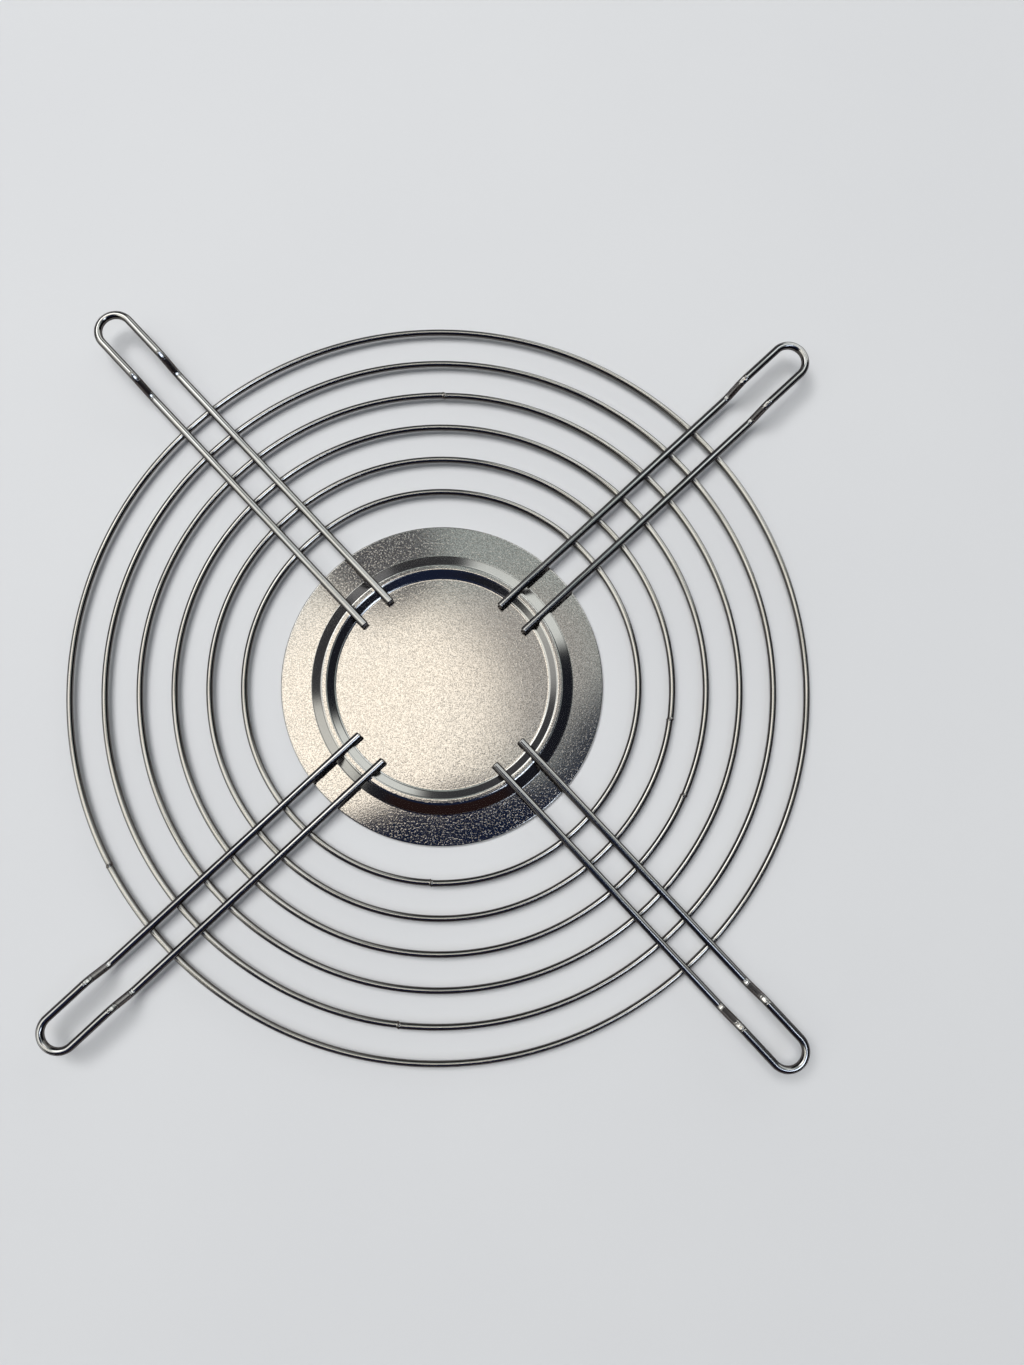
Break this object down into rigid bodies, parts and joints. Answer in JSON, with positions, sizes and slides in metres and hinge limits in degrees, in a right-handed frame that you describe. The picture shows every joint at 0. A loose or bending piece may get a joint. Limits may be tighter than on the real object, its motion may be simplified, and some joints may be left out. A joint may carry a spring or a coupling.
{
  "type": "fan guard grille",
  "caption": "Round wire finger guard for an axial fan: concentric rings and a pressed hub disc welded under hairpin legs that end in fixing loops.",
  "frame": {"origin": "middle of the guard, on the surface that its hub disc rests on", "axes": "+Z along the fan's axis, from the room side to the fan side; X and Y along the sides of the square of the four fixing loops"},
  "size_m": [0.1888, 0.1888, 0.0093],
  "materials": {
    "ring_wire": "bright plated, faintly grained",
    "leg_wire": "bright plated",
    "hub_plate": "satin plated"
  },
  "bodies": {
    "root": {"ring_1": "ring_wire", "ring_2": "ring_wire", "ring_3": "ring_wire", "ring_4": "ring_wire", "ring_5": "ring_wire", "ring_6": "ring_wire", "leg_right_top": "leg_wire", "leg_left_top": "leg_wire", "leg_left_bottom": "leg_wire", "leg_right_bottom": "leg_wire", "hub_disc": "hub_plate"}
  },
  "joints": []
}
